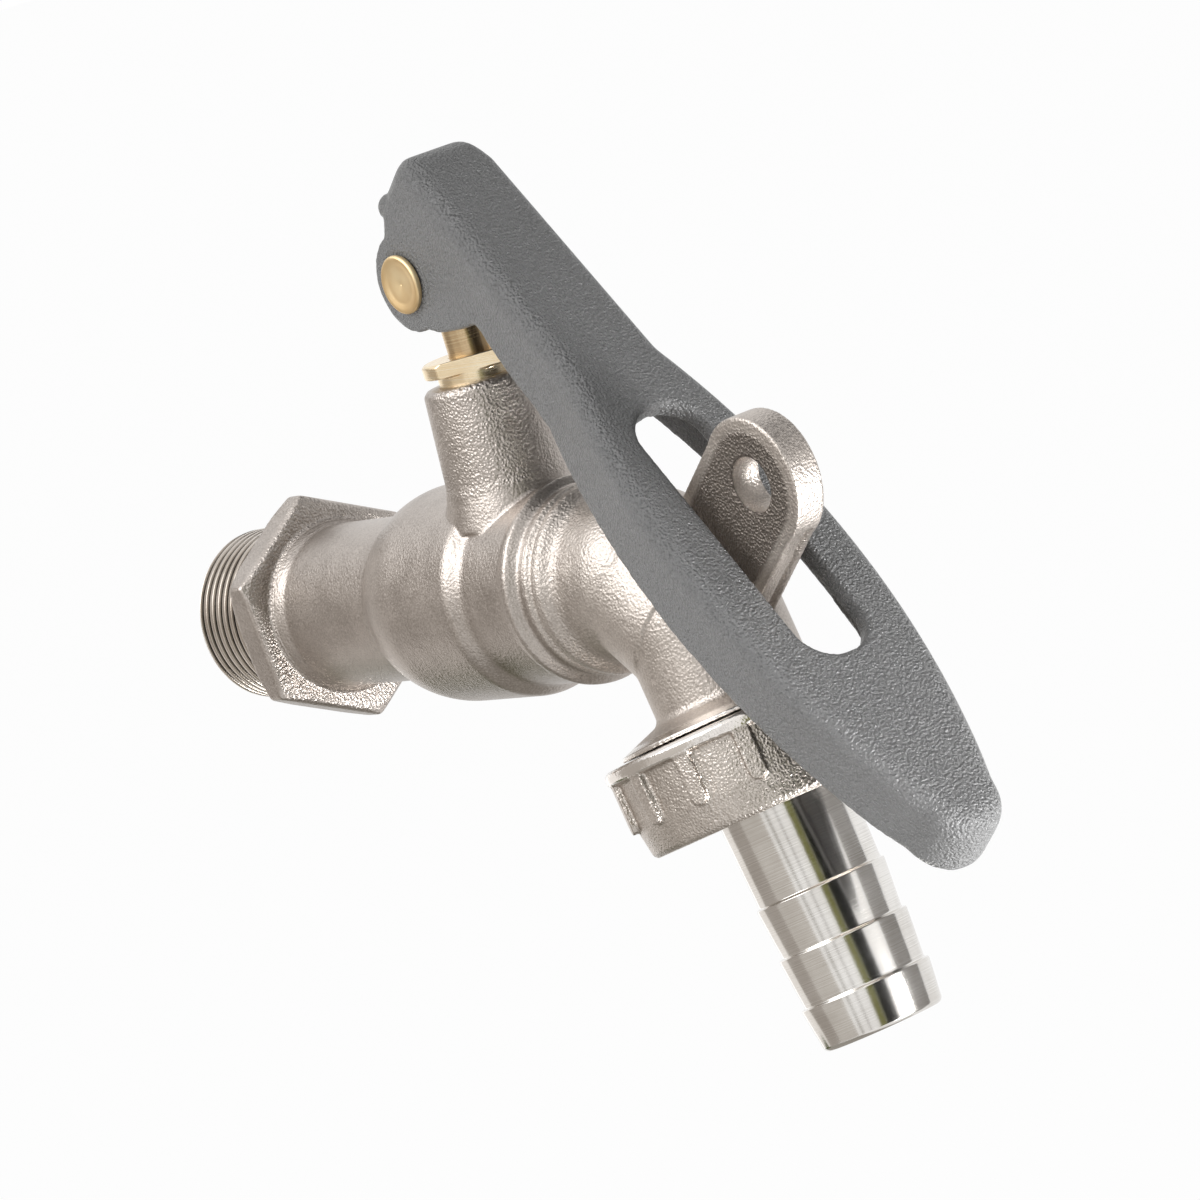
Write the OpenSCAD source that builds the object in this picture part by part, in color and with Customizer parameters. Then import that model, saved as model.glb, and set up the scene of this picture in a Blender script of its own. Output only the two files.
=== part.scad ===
// Lockable ball valve tap for a water butt
// The origin is on the inlet axis at the hexagon's seating face
// +X runs from the wall to the outlet and +Z runs up the stem

/* [Inlet] */
// Major diameter of the male inlet thread
inlet_thread_d = 26.44; // [24:0.1:28]
// Length of the inlet thread
inlet_len = 17; // [13:0.5:20]
// Pitch of the inlet thread
inlet_pitch = 1.814; // [1.5:0.1:2]
// Bore of the inlet
inlet_bore_d = 17; // [12:0.5:17.5]
// Hexagon across flats
hex_af = 31.7; // [30:0.1:34]
// Thickness of the hexagon
hex_t = 5.4; // [4:0.2:7]
// Turn of the hexagon on the casting in degrees
hex_turn = 3.7; // [0:0.1:8]

/* [Housing] */
// Outside diameter of the tube behind the housing
tube_d = 25; // [23.5:0.1:26.5]
// Outside diameter of the ball housing
housing_d = 32.8; // [31.4:0.1:34]
// Outside diameter of the lettering band
band_d = 29.8; // [28.6:0.1:30.6]
// Distance from the shoulder to the stem axis
stem_x = 59.7; // [58.5:0.1:61]
// End face of the housing
housing_end = 75; // [74.4:0.1:76]
// Diameter of the ball
ball_d = 19.5; // [18.6:0.1:19.8]
// Bore of the ball
ball_bore_d = 12; // [8:0.5:12.5]
// Height of the neck's top face over the inlet axis
neck_top = 31.8; // [31.2:0.1:33]
// Diameter of the neck at its top
neck_top_d = 17.2; // [16.6:0.1:18]

/* [Stem] */
// Diameter of the stem
stem_d = 6.8; // [6:0.1:7]
// Height of the rivet over the inlet axis
pivot_z = 48.2; // [47.6:0.1:49]
// Diameter of the rivet's shank
rivet_d = 4; // [3:0.1:4.4]
// Diameter of the rivet's head
rivet_head_d = 8.8; // [7:0.1:9.4]
// Width across the gland nut's flats
gland_af = 11.8; // [11.8:0.1:13]

/* [Spout] */
// Distance from the shoulder to the spout's axis
spout_x = 93.8; // [93.2:0.1:94.4]
// Forward tilt of the spout in degrees
spout_tilt = 12.5; // [11.5:0.1:13.5]
// Outside diameter of the spout
spout_d = 23.4; // [22.4:0.1:24]
// Bore of the spout
spout_bore_d = 16; // [11:0.5:16.5]
// Major diameter of the outlet thread
outlet_thread_d = 33.24; // [32.6:0.02:33.4]
// Pitch of the outlet thread
outlet_pitch = 2.309; // [2:0.1:2.5]

/* [Lug] */
// Thickness of the padlock lug
lug_t = 5; // [4:0.1:5.6]
// Diameter of the lug's round head
lug_head_d = 19.4; // [18:0.1:20.2]
// Diameter of the padlock hole
lug_hole_d = 8; // [6:0.1:9]

/* [Lever] */
// Slope of the lever under the horizontal in degrees
lever_slope = 53.2; // [52.6:0.1:53.8]
// Greatest width of the lever
lever_w = 28.2; // [27.4:0.1:29]
// Width of the lever's head
lever_head_w = 14.6; // [14:0.1:15.4]
// Depth of the lever from its face to its lower edge
lever_depth = 11.2; // [10.8:0.1:11.6]
// Thickness of the lever's face
lever_face_t = 3.3; // [2.6:0.1:4]
// Thickness of the lever's side walls
lever_wall = 2.4; // [1.8:0.1:2.6]
// Width of the lever's slot
slot_w = 11.6; // [11:0.1:12]
// Length of the lever's slot
slot_len = 47.2; // [45:0.1:48]

/* [Union] */
// Outside diameter of the union nut over its ribs
nut_d = 43.6; // [43:0.1:44]
// Height of the union nut
nut_h = 13.9; // [13.5:0.1:14.2]
// Number of ribs on the union nut
nut_ribs = 14; // [10:1:16]
// Diameter of the hose tail's barbs
barb_d = 19.7; // [18:0.1:20]
// Bore of the hose tail
tail_bore_d = 14.6; // [10:0.1:15]
// Distance between barbs
barb_pitch = 7.7; // [6.5:0.1:8.5]

/* [Hidden] */
$fn = 64;
// running clearance between parts that turn on each other
run_gap = 0.05;
// clearance between parts that pass each other
pass_gap = 0.3;
// inlet
inlet_depth = 0.6403 * inlet_pitch;
inlet_r = inlet_thread_d / 2;
// ball chamber
ball_r = ball_d / 2;
seat_r = ball_r + 0.6;
seat_back = ball_r + 0.75;
chamber_start = stem_x - seat_back;
chamber_end = stem_x + seat_back;
nose_r = 12.2;
seat_bore = ball_bore_d / 2 + 0.6;
seat_face = ball_r - 3.65;
// stem and gland
stem_r = stem_d / 2;
stem_bore = stem_r + run_gap;
flange_r = 5.1;
flange_low = ball_r + 0.45;
flange_top = flange_low + 2.3;
washer_top = flange_top + 1.2;
packing_low = neck_top - 9.8;
packing_top = packing_low + 3.6;
gland_r = 5.9;
// the gland nut's flats as they stand
gland_turn = -42;
// radius of the gland nut's round ends
gland_end_r = 7.7;
gland_flat_low = neck_top + 1.6;
gland_flat_top = gland_flat_low + 2.2;
oring_r = 0.8;
oring_low_z = washer_top + 2.4;
oring_high_z = packing_low - 1.7;
// spout
spout_turn = 180 - spout_tilt;
outlet_r = outlet_thread_d / 2;
outlet_depth = 0.6403 * outlet_pitch;
flange_t = 22;
nut_start = flange_t + 0.3;
nut_end = nut_start + nut_h;
lip_t = 2;
tail_flange_t = 2;
hose_washer_t = 2;
tail_flange_end = nut_end - lip_t - run_gap;
tail_flange_start = tail_flange_end - tail_flange_t;
outlet_end = tail_flange_start - hose_washer_t;
// corners of the elbow
bend = 7.5;
elbow_low = [spout_x + (bend + 0.5) * sin(spout_tilt), -(bend + 0.5) * cos(spout_tilt)];
elbow_high = [spout_x - bend, 0];
elbow_run = norm(elbow_low - elbow_high);
elbow_angle = atan2(elbow_high[1] - elbow_low[1], elbow_low[0] - elbow_high[0]);
// lug, measured from its base point along the lever's normal
lug_base = [99.4, -3.9];
lug_reach = 25.3;
lug_w = 19;
// lever, measured from the rivet along the lever and along its normal
face_n = 17.2;
edge_n = face_n - lever_depth;
leaf_mid = 72;
leaf_r = 130;
tip_s = 117;
tip_r = 6.2;
slot_start = 43.2;
ear_r = 7.5;
bar_spread = 1.6;
edge_round = 3;
ear_gap = stem_r + pass_gap;
cast_nickel = [0.74, 0.70, 0.66];
turned_nickel = [0.82, 0.80, 0.77];
brass = [0.78, 0.62, 0.36];
lever_grey = [0.45, 0.45, 0.45];

// turn an outline of [radius, distance] pairs about the inlet axis
module lathe_x(outline) {
    rotate([0, 90, 0])
    rotate_extrude()
    polygon(outline);
}

// turn an outline about the upright stem axis
module lathe_stem(outline) {
    translate([stem_x, 0, 0])
    rotate_extrude()
    polygon(outline);
}

// put children in the spout's frame, where z runs down the spout
module at_spout() {
    translate([spout_x, 0, 0])
    rotate([0, spout_turn, 0])
    children();
}

// turn an outline about the spout's axis
module lathe_spout(outline) {
    at_spout()
    rotate_extrude()
    polygon(outline);
}

// put children in the lever's frame, with x along the lever and z along its normal
module at_lever() {
    translate([stem_x, 0, pivot_z])
    rotate([0, lever_slope, 0])
    children();
}

// put children in the lug's frame, with z towards the padlock hole
module at_lug() {
    translate([lug_base[0], 0, lug_base[1]])
    rotate([0, lever_slope, 0])
    children();
}

// outline of thread crests between two distances, closed by the caller
function crests(r, depth, pitch, from, count) = [
    for (i = [0 : count - 1])
        for (p = [[r - depth, 0.06], [r, 0.38], [r, 0.62], [r - depth, 0.94]])
            [p[0], from + (i + p[1]) * pitch]
];

// points on an arc of a profile about a centre
function arc(c, r, a0, a1, n) = [
    for (i = [0 : n])
        [c[0] + r * cos(a0 + (a1 - a0) * i / n), c[1] + r * sin(a0 + (a1 - a0) * i / n)]
];

// wall of the body from the hexagon to the housing's end face
module body_shell() {
    thread_count = floor((inlet_len - 2.2) / inlet_pitch);
    thread_from = -1.8 - thread_count * inlet_pitch;
    lathe_x(concat(
        [[0, -inlet_len], [inlet_r - inlet_depth - 0.3, -inlet_len]],
        [[inlet_r - inlet_depth, thread_from]],
        crests(inlet_r, inlet_depth, inlet_pitch, thread_from, thread_count),
        [[inlet_r, -1.7], [inlet_r, 0.5], [0, 0.5]]
    ));
    intersection() {
        rotate([0, 90, 0])
        linear_extrude(hex_t)
        polygon([for (i = [0 : 5]) hex_af / sqrt(3) * [cos(60 * i + hex_turn), sin(60 * i + hex_turn)]]);
        lathe_x([[0, 0], [hex_af / 2 + 0.6, 0], [hex_af / sqrt(3) + 0.2, 1.5],
            [hex_af / sqrt(3) + 0.2, hex_t - 1.2], [hex_af / 2 + 0.9, hex_t], [0, hex_t]]);
    }
    tube_r = tube_d / 2;
    housing_r = housing_d / 2;
    band_r = band_d / 2;
    swell = 20;
    swell_x = 42.2;
    swell_a = acos((tube_r - housing_r + swell) / swell);
    lathe_x(concat(
        [[0, 0.5], [tube_r + 0.9, 0.5], [tube_r + 0.9, hex_t], [tube_r, hex_t + 2.8]],
        arc([housing_r - swell, swell_x], swell, -swell_a, 0, 12),
        [[housing_r, stem_x - 2.4], [housing_r - 0.2, stem_x - 1.6], [band_r + 0.15, stem_x + 0.2],
            [band_r, stem_x + 0.9], [band_r, housing_end - 4.6], [band_r + 0.5, housing_end - 3.9],
            [band_r + 0.5, housing_end - 2.8], [13.7, housing_end - 1.4], [13.7, housing_end - 0.9],
            [14.2, housing_end - 0.5], [14.2, housing_end], [0, housing_end]]
    ));
    lathe_stem([[0, 4], [neck_top_d / 2 + 1.2, 4], [neck_top_d / 2, neck_top - 0.7],
        [neck_top_d / 2 - 0.7, neck_top], [0, neck_top]]);
}

module tap_body() {
    color(cast_nickel)
    difference() {
        body_shell();
        lathe_x([[0, -inlet_len - 1], [inlet_bore_d / 2, -inlet_len - 1],
            [inlet_bore_d / 2, chamber_start + 1], [0, chamber_start + 1]]);
        lathe_x([[0, chamber_start], [seat_r, chamber_start], [seat_r, chamber_end],
            [nose_r, chamber_end], [nose_r, housing_end + 1], [0, housing_end + 1]]);
        lathe_stem([[0, 0], [flange_r + run_gap, 0], [flange_r + run_gap, washer_top], [stem_bore, washer_top],
            [stem_bore, packing_low], [gland_r, packing_low], [gland_r, neck_top + 1], [0, neck_top + 1]]);
    }
}

// a bent pipe through the elbow's two corners
module bent_pipe(r1, r2, r3, from_x, to_t) {
    translate([from_x, 0, 0])
    rotate([0, 90, 0])
    cylinder(r = r1, h = elbow_high[0] - from_x);
    translate([elbow_high[0], 0, 0])
    sphere(r = r1 + 0.03);
    translate([elbow_high[0], 0, 0])
    rotate([0, 90 + elbow_angle, 0])
    cylinder(r = r2, h = elbow_run);
    translate([elbow_low[0], 0, elbow_low[1]])
    sphere(r = r3 + 0.03);
    at_spout()
    translate([0, 0, bend + 0.5])
    cylinder(r = r3, h = to_t - bend - 0.5);
}

module lug_blank() {
    at_lug()
    rotate([90, 0, 0])
    translate([0, 0, -lug_t / 2])
    linear_extrude(lug_t)
    union() {
        translate([-lug_w / 2, -6])
        square([lug_w, lug_reach + 6]);
        translate([0, lug_reach])
        circle(d = lug_head_d);
    }
}

module lug() {
    difference() {
        lug_blank();
        at_lug()
        translate([0, 0, lug_reach])
        rotate([90, 0, 0])
        cylinder(d = lug_hole_d, h = lug_t + 2, center = true);
        // the neck is slimmer on the far front edge
        at_lug()
        translate([lug_w / 2 - 1.2, 0, -7])
        rotate([0, 0, -40])
        translate([0, 0.8, 0])
        cube([8, 8, lug_reach + 6.5]);
    }
}

module spout_elbow() {
    thread_count = floor((outlet_end - flange_t - 1.2) / outlet_pitch);
    thread_from = flange_t + 0.8;
    r = outlet_r;
    d = outlet_depth;
    color(cast_nickel)
    difference() {
        union() {
            lathe_x([[0, chamber_end], [nose_r, chamber_end], [nose_r, housing_end], [14.2, housing_end],
                [14.2, housing_end + 0.6], [13.5, housing_end + 1.2], [13.5, housing_end + 1.7],
                [14.2, housing_end + 2.3], [14.2, housing_end + 3.6], [12.8, housing_end + 5.2],
                [12.5, housing_end + 6.4], [0, housing_end + 6.4]]);
            bent_pipe(12.5, 12.2, spout_d / 2, housing_end + 2, flange_t);
            lathe_spout([[0, 17.5], [spout_d / 2, 17.5], [spout_d / 2, 18.4], [spout_d / 2 + 0.5, 19.2],
                [18.4, flange_t - 0.6], [18.4, flange_t], [0, flange_t]]);
            lathe_spout(concat(
                [[0, flange_t - 0.5], [r - d, flange_t - 0.5]],
                crests(r, d, outlet_pitch, thread_from, thread_count),
                [[r - d, outlet_end - 0.4], [r - d - 0.4, outlet_end], [0, outlet_end]]
            ));
            lug();
        }
        bent_pipe(spout_bore_d / 2, spout_bore_d / 2, spout_bore_d / 2, chamber_end - 1, outlet_end + 1);
    }
}

// ring that holds the ball, dished to its sphere
module seat() {
    color("white")
    difference() {
        lathe_x([[seat_bore, -seat_back], [seat_r, -seat_back], [seat_r, -seat_face], [seat_bore, -seat_face]]);
        sphere(r = ball_r + run_gap);
    }
}

module inlet_seat() {
    translate([stem_x, 0, 0])
    seat();
}

module outlet_seat() {
    translate([stem_x, 0, 0])
    mirror([1, 0, 0])
    seat();
}

// the ball lies shut, with its bore across the flow
module ball() {
    color("silver")
    translate([stem_x, 0, 0])
    difference() {
        sphere(r = ball_r);
        rotate([90, 0, 0])
        cylinder(d = ball_bore_d, h = ball_d + 2, center = true);
        translate([-4.3, -1.6, ball_r - 2.75])
        cube([8.6, 3.2, 4]);
    }
}

module stem() {
    g = stem_r - 1.15;
    color(brass)
    difference() {
        union() {
            lathe_stem(concat(
                [[0, flange_low], [flange_r, flange_low], [flange_r, flange_top], [stem_r, flange_top],
                    [stem_r, oring_low_z - 0.95], [g, oring_low_z - 0.95], [g, oring_low_z + 0.95],
                    [stem_r, oring_low_z + 0.95], [stem_r, oring_high_z - 0.95], [g, oring_high_z - 0.95],
                    [g, oring_high_z + 0.95], [stem_r, oring_high_z + 0.95], [stem_r, pivot_z + 3.4]],
                [[stem_r - 0.8, pivot_z + 4.4], [0, pivot_z + 4.4]]
            ));
            translate([stem_x - 4.2, -1.5, ball_r - 2.65])
            cube([8.4, 3, 4]);
        }
        translate([stem_x, 0, pivot_z])
        rotate([90, 0, 0])
        cylinder(d = rivet_d, h = stem_d + 2, center = true);
    }
}

module thrust_washer() {
    color("white")
    lathe_stem([[stem_bore, flange_top + run_gap], [flange_r, flange_top + run_gap], [flange_r, washer_top],
        [stem_bore, washer_top]]);
}

// ring in a stem groove, flattened where it meets the bore
module stem_oring(z) {
    color("black")
    intersection() {
        translate([stem_x, 0, z])
        rotate_extrude()
        translate([stem_r - 0.35, 0])
        circle(r = oring_r);
        translate([stem_x, 0, z - 1])
        cylinder(r = stem_bore - 0.02, h = 2);
    }
}

module lower_stem_oring() {
    stem_oring(oring_low_z);
}

module upper_stem_oring() {
    stem_oring(oring_high_z);
}

module gland_packing() {
    color("white")
    lathe_stem([[stem_bore, packing_low], [gland_r, packing_low], [gland_r, packing_top], [stem_bore, packing_top]]);
}

module gland_nut() {
    color(brass)
    difference() {
        union() {
            lathe_stem([[0, packing_top], [gland_r, packing_top], [gland_r, gland_flat_low + 0.2],
                [0, gland_flat_low + 0.2]]);
            intersection() {
                translate([stem_x, 0, gland_flat_low])
                rotate([0, 0, gland_turn])
                translate([-gland_af / 2, -gland_end_r - 1, 0])
                cube([gland_af, 2 * gland_end_r + 2, gland_flat_top - gland_flat_low]);
                lathe_stem([[0, gland_flat_low], [gland_end_r - 0.2, gland_flat_low],
                    [gland_end_r, gland_flat_low + 0.2], [gland_end_r, gland_flat_top - 0.4],
                    [gland_end_r - 0.5, gland_flat_top], [0, gland_flat_top]]);
            }
        }
        lathe_stem([[0, packing_top - 1], [stem_bore, packing_top - 1], [stem_bore, gland_flat_top + 1],
            [0, gland_flat_top + 1]]);
    }
}

module pivot_rivet() {
    head_in = lever_head_w / 2 + 0.5;
    head_out = head_in + 0.9;
    tail_in = head_in;
    color(brass)
    translate([stem_x, 0, pivot_z])
    rotate([90, 0, 0])
    rotate_extrude()
    polygon([[0, -tail_in - 1.2], [2.4, -tail_in - 1.1], [3.3, -tail_in - 0.6], [3.4, -tail_in],
        [rivet_d / 2, -tail_in], [rivet_d / 2, head_in], [rivet_head_d / 2, head_in],
        [rivet_head_d / 2, head_out - 0.25], [rivet_head_d / 2 - 0.25, head_out],
        [rivet_head_d / 2 - 0.6, head_out], [0, head_out - 0.35]]);
}

// half of the leaf, a wide disc with a rounded face edge
module leaf_disc(side, grow) {
    r = leaf_r + grow;
    translate([leaf_mid, side * (leaf_r - lever_w / 2), 0])
    rotate_extrude($fn = 360)
    polygon(concat(
        [[0, -2], [r, -2]],
        arc([r - edge_round, face_n - edge_round], edge_round, 0, 90, 8),
        [[0, face_n]]
    ));
}

module leaf() {
    intersection() {
        leaf_disc(1, 0);
        leaf_disc(-1, 0);
        translate([10, -30, -5])
        cube([tip_s - 10, 60, 40]);
    }
    translate([tip_s - 0.3, 0, 0])
    rotate_extrude()
    polygon(concat(
        [[0, -2], [tip_r, -2]],
        arc([tip_r - edge_round, face_n - edge_round], edge_round, 0, 90, 8),
        [[0, face_n]]
    ));
}

// half of the straight part, a bar with rounded upper edges
module head_bar(turn) {
    w = lever_head_w / 2;
    top = face_n - 0.04;
    translate([-8, 0, 0])
    rotate([0, 0, turn])
    translate([-6, 0, 0])
    rotate([90, 0, 90])
    linear_extrude(56)
    polygon(concat(
        [[-w, -12], [w, -12]],
        arc([w - edge_round, top - edge_round], edge_round, 0, 90, 8),
        arc([-w + edge_round, top - edge_round], edge_round, 90, 180, 8)
    ));
}

// side view of the lever with its ear, head and lower edge
module lever_side() {
    rotate([90, 0, 0])
    cylinder(r = ear_r, h = 60, center = true);
    rotate([90, 0, 0])
    linear_extrude(60, center = true)
    polygon([[-6.6, 1.6], [-8.3, 4.6], [-9.2, 5.8], [-10.8, 7.6], [-11.7, 9.4], [-11.8, 11.6], [-11.4, 13.4],
        [-10.3, 15.2], [-8.6, 16.5], [-6.6, face_n], [-5.2, face_n + 0.6], [135, face_n + 0.6], [135, edge_n],
        [25, edge_n], [18, edge_n + 0.6], [14.6, edge_n + 0.8], [12.8, 3.6], [9.6, -0.8], [6, -3.6], [2, -2]]);
}

// rounded upper corners of the head, seen square to the face
module lever_plan() {
    w = lever_head_w / 2;
    translate([0, 0, -25])
    linear_extrude(60)
    polygon(concat(
        arc([-11.8 + 5, w - 4.7], 5, 180, 90, 8),
        [[20, 30], [140, 30], [140, -30], [20, -30]],
        arc([-11.8 + 5, -w + 4.7], 5, 270, 180, 8)
    ));
}

module lever_inside() {
    inner = face_n - lever_face_t;
    // between the ears
    translate([-6, -ear_gap, -20])
    cube([30, 2 * ear_gap, inner + 20]);
    translate([-14, -ear_gap, -20])
    cube([20, 2 * ear_gap, 24.6]);
    translate([15, -4.5, -20])
    cube([30, 9, inner + 20]);
    intersection() {
        translate([leaf_mid, leaf_r - lever_w / 2, -20])
        cylinder(r = leaf_r - lever_wall, h = inner + 20, $fn = 180);
        translate([leaf_mid, -leaf_r + lever_w / 2, -20])
        cylinder(r = leaf_r - lever_wall, h = inner + 20, $fn = 180);
        translate([16, -30, -25])
        cube([tip_s - 14, 60, 60]);
    }
}

module lever() {
    color(lever_grey)
    difference() {
        at_lever()
        difference() {
            intersection() {
                union() {
                    head_bar(bar_spread);
                    head_bar(-bar_spread);
                    leaf();
                }
                lever_side();
                lever_plan();
            }
            lever_inside();
            translate([slot_start + slot_w / 2, 0, -20])
            linear_extrude(60)
            union() {
                circle(d = slot_w);
                translate([0, -slot_w / 2])
                square([slot_len - slot_w, slot_w]);
                translate([slot_len - slot_w, 0])
                circle(d = slot_w);
            }
            rotate([90, 0, 0])
            cylinder(d = rivet_d + 0.16, h = 40, center = true);
        }
        // relief so that the side walls clear the union nut over the lever's play
        at_spout()
        translate([0, 0, nut_start - pass_gap])
        cylinder(d = nut_d + 2 * pass_gap + 1, h = 20);
    }
}

// wall of the union nut with ribs that end short of the lower band
module nut_wall() {
    r = nut_d / 2;
    root = r - 1.2;
    lathe_spout([[0, nut_start], [r - 0.7, nut_start], [r, nut_start + 0.6], [r, nut_start + 1.8],
        [root, nut_start + 2.3], [root - 0.1, nut_end - 4.6], [root - 0.7, nut_end - 0.6],
        [root - 1.2, nut_end], [0, nut_end]]);
    at_spout()
    for (i = [0 : nut_ribs - 1])
        rotate([0, 0, 360 * (i + 0.5) / nut_ribs])
        translate([root - 1, 0, nut_start + 1.5])
        rotate([0, 90, 0])
        linear_extrude(1.9)
        union() {
            translate([-8.1 + 1.3, 0])
            circle(r = 1.3);
            translate([-8.1 + 1.3, -1.3])
            square([8.1 - 1.3, 2.6]);
        }
}

module union_nut() {
    color(cast_nickel)
    difference() {
        nut_wall();
        lathe_spout([[0, nut_start - 1], [outlet_r + 0.08 + 0.8, nut_start - 1], [outlet_r + 0.08, nut_start + 0.8],
            [outlet_r + 0.08, nut_end - lip_t], [0, nut_end - lip_t]]);
        lathe_spout([[0, nut_start], [barb_d / 2 + pass_gap, nut_start], [barb_d / 2 + pass_gap, nut_end + 1],
            [0, nut_end + 1]]);
    }
}

module hose_tail() {
    r = barb_d / 2;
    first = 48.6;
    tail_end = first + 3 * barb_pitch - 0.9;
    color(turned_nickel)
    difference() {
        lathe_spout([[0, tail_flange_start], [outlet_r - 0.4, tail_flange_start], [outlet_r - 0.4, tail_flange_end],
            [r - 0.1, tail_flange_end], [r - 0.15, nut_end + 1], [r - 0.5, first],
            [r, first + 0.2], [r - 0.65, first + barb_pitch],
            [r, first + barb_pitch + 0.2], [r - 0.65, first + 2 * barb_pitch],
            [r, first + 2 * barb_pitch + 0.2], [r - 0.75, tail_end - 0.5], [r - 1.2, tail_end], [0, tail_end]]);
        lathe_spout([[0, tail_flange_start - 1], [tail_bore_d / 2, tail_flange_start - 1],
            [tail_bore_d / 2, tail_end - 0.5], [tail_bore_d / 2 + 0.6, tail_end + 0.1], [0, tail_end + 0.1]]);
    }
}

module hose_washer() {
    color("black")
    lathe_spout([[spout_bore_d / 2 + 0.8, outlet_end], [outlet_r - 0.6, outlet_end],
        [outlet_r - 0.6, tail_flange_start], [spout_bore_d / 2 + 0.8, tail_flange_start]]);
}

tap_body();
spout_elbow();
inlet_seat();
outlet_seat();
ball();
stem();
thrust_washer();
lower_stem_oring();
upper_stem_oring();
gland_packing();
gland_nut();
pivot_rivet();
lever();
union_nut();
hose_tail();
hose_washer();
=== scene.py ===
import math
import bmesh
import bpy
import numpy as np
from mathutils import Matrix, Vector


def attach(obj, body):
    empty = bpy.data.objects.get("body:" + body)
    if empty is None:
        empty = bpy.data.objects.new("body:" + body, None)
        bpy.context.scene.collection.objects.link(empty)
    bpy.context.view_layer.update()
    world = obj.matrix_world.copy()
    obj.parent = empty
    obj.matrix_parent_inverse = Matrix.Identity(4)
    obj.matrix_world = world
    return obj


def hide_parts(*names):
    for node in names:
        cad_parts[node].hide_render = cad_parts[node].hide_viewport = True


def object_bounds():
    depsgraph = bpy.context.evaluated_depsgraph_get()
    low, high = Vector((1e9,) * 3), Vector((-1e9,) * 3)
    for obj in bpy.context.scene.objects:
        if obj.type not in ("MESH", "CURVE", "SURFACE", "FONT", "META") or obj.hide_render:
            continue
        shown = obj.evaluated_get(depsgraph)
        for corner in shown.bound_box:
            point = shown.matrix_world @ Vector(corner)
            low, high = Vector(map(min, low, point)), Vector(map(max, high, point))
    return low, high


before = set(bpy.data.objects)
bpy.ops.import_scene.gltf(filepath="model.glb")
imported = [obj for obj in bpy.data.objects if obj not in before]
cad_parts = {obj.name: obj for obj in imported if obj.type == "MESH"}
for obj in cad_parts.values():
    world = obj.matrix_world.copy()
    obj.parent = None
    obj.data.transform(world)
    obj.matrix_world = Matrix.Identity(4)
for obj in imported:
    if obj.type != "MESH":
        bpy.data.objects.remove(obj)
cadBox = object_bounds()
mm = 0.001
weld = 0.002 * mm
print("frame loaded")

# distances along the tap that several pieces share, in millimetres
tap = {
    "stemX": 59.7,
    "pivotZ": 48.2,
    "spoutX": 93.8,
    "spoutTilt": 12.5,
    "leverSlope": 53.2,
    "neckTop": 31.8,
}


def axisFrame(origin, direction, side):
    # columns are side, across and the axis itself, so z runs along the axis
    axis = Vector(direction).normalized()
    across = axis.cross(Vector(side)).normalized()
    first = across.cross(axis)
    seat = Matrix((first, across, axis)).transposed().to_4x4()
    seat.translation = Vector(origin) * mm
    return seat


tilt = math.radians(tap["spoutTilt"])
slope = math.radians(tap["leverSlope"])
spoutDown = (math.sin(tilt), 0, -math.cos(tilt))
alongInlet = axisFrame((0, 0, 0), (1, 0, 0), (0, 0, 1))
upStem = axisFrame((tap["stemX"], 0, 0), (0, 0, 1), (1, 0, 0))
downSpout = axisFrame((tap["spoutX"], 0, 0), spoutDown, (1, 0, 0))
acrossRivet = axisFrame((tap["stemX"], 0, tap["pivotZ"]), (0, -1, 0), (1, 0, 0))
leverDown = (math.cos(slope), 0, -math.sin(slope))
leverUp = (math.sin(slope), 0, math.cos(slope))
leverNormal = axisFrame((tap["stemX"], 0, tap["pivotZ"]), leverUp, leverDown)


# meshes

def rounded(points, radius, steps):
    # a closed outline with its corners turned into short arcs
    share = 0.45  # how much of a side one arc may take
    out = []
    count = len(points)
    for i in range(count):
        here = Vector(points[i])
        before = Vector(points[i - 1]) - here
        after = Vector(points[(i + 1) % count]) - here
        reach = min(radius, before.length * share, after.length * share)
        start = here + before.normalized() * reach
        end = here + after.normalized() * reach
        for step in range(steps + 1):
            t = step / steps
            out.append(tuple(start * (1 - t) ** 2 + here * 2 * t * (1 - t) + end * t ** 2))
    return out


def turnedPoint(seat, r, angle, along):
    return seat @ (Vector((r * math.cos(angle), r * math.sin(angle), along)) * mm)


def joinRows(mesh, rows, outer=0, climb=0):
    # faces between neighbouring rows of points, and from the last row to the first
    # climb is how many of the outer points a thread rises in one turn
    faces = []
    count = len(rows[0])
    for k, row in enumerate(rows):
        other = list(rows[(k + 1) % len(rows)])
        if climb and k == len(rows) - 1:
            other[:outer] = other[climb:outer] + [other[outer - 1]] * climb
        for i in range(count):
            j = (i + 1) % count
            corners = [row[i], other[i], other[j], row[j]]
            if other[i] is other[j]:
                corners.pop(1)
            faces.append(mesh.faces.new(corners))
    bmesh.ops.recalc_face_normals(mesh, faces=faces)


def latheInto(mesh, outline, seat, segments):
    # turn a closed outline of (radius, distance) pairs about an axis
    rows = []
    for k in range(segments):
        angle = 2 * math.pi * k / segments
        rows.append([mesh.verts.new(turnedPoint(seat, r, angle, along)) for r, along in outline])
    joinRows(mesh, rows)


def surfaceInto(mesh, radiusAt, distances, bore, seat, segments, climb=0):
    # a ring whose outer radius varies round the axis and along it
    rows = []
    for k in range(segments):
        angle = 2 * math.pi * k / segments
        points = [radiusAt(angle, d) for d in distances]
        points += [(bore, points[-1][1]), (bore, points[0][1])]
        rows.append([mesh.verts.new(turnedPoint(seat, r, angle, along)) for r, along in points])
    joinRows(mesh, rows, len(distances), climb)


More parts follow.
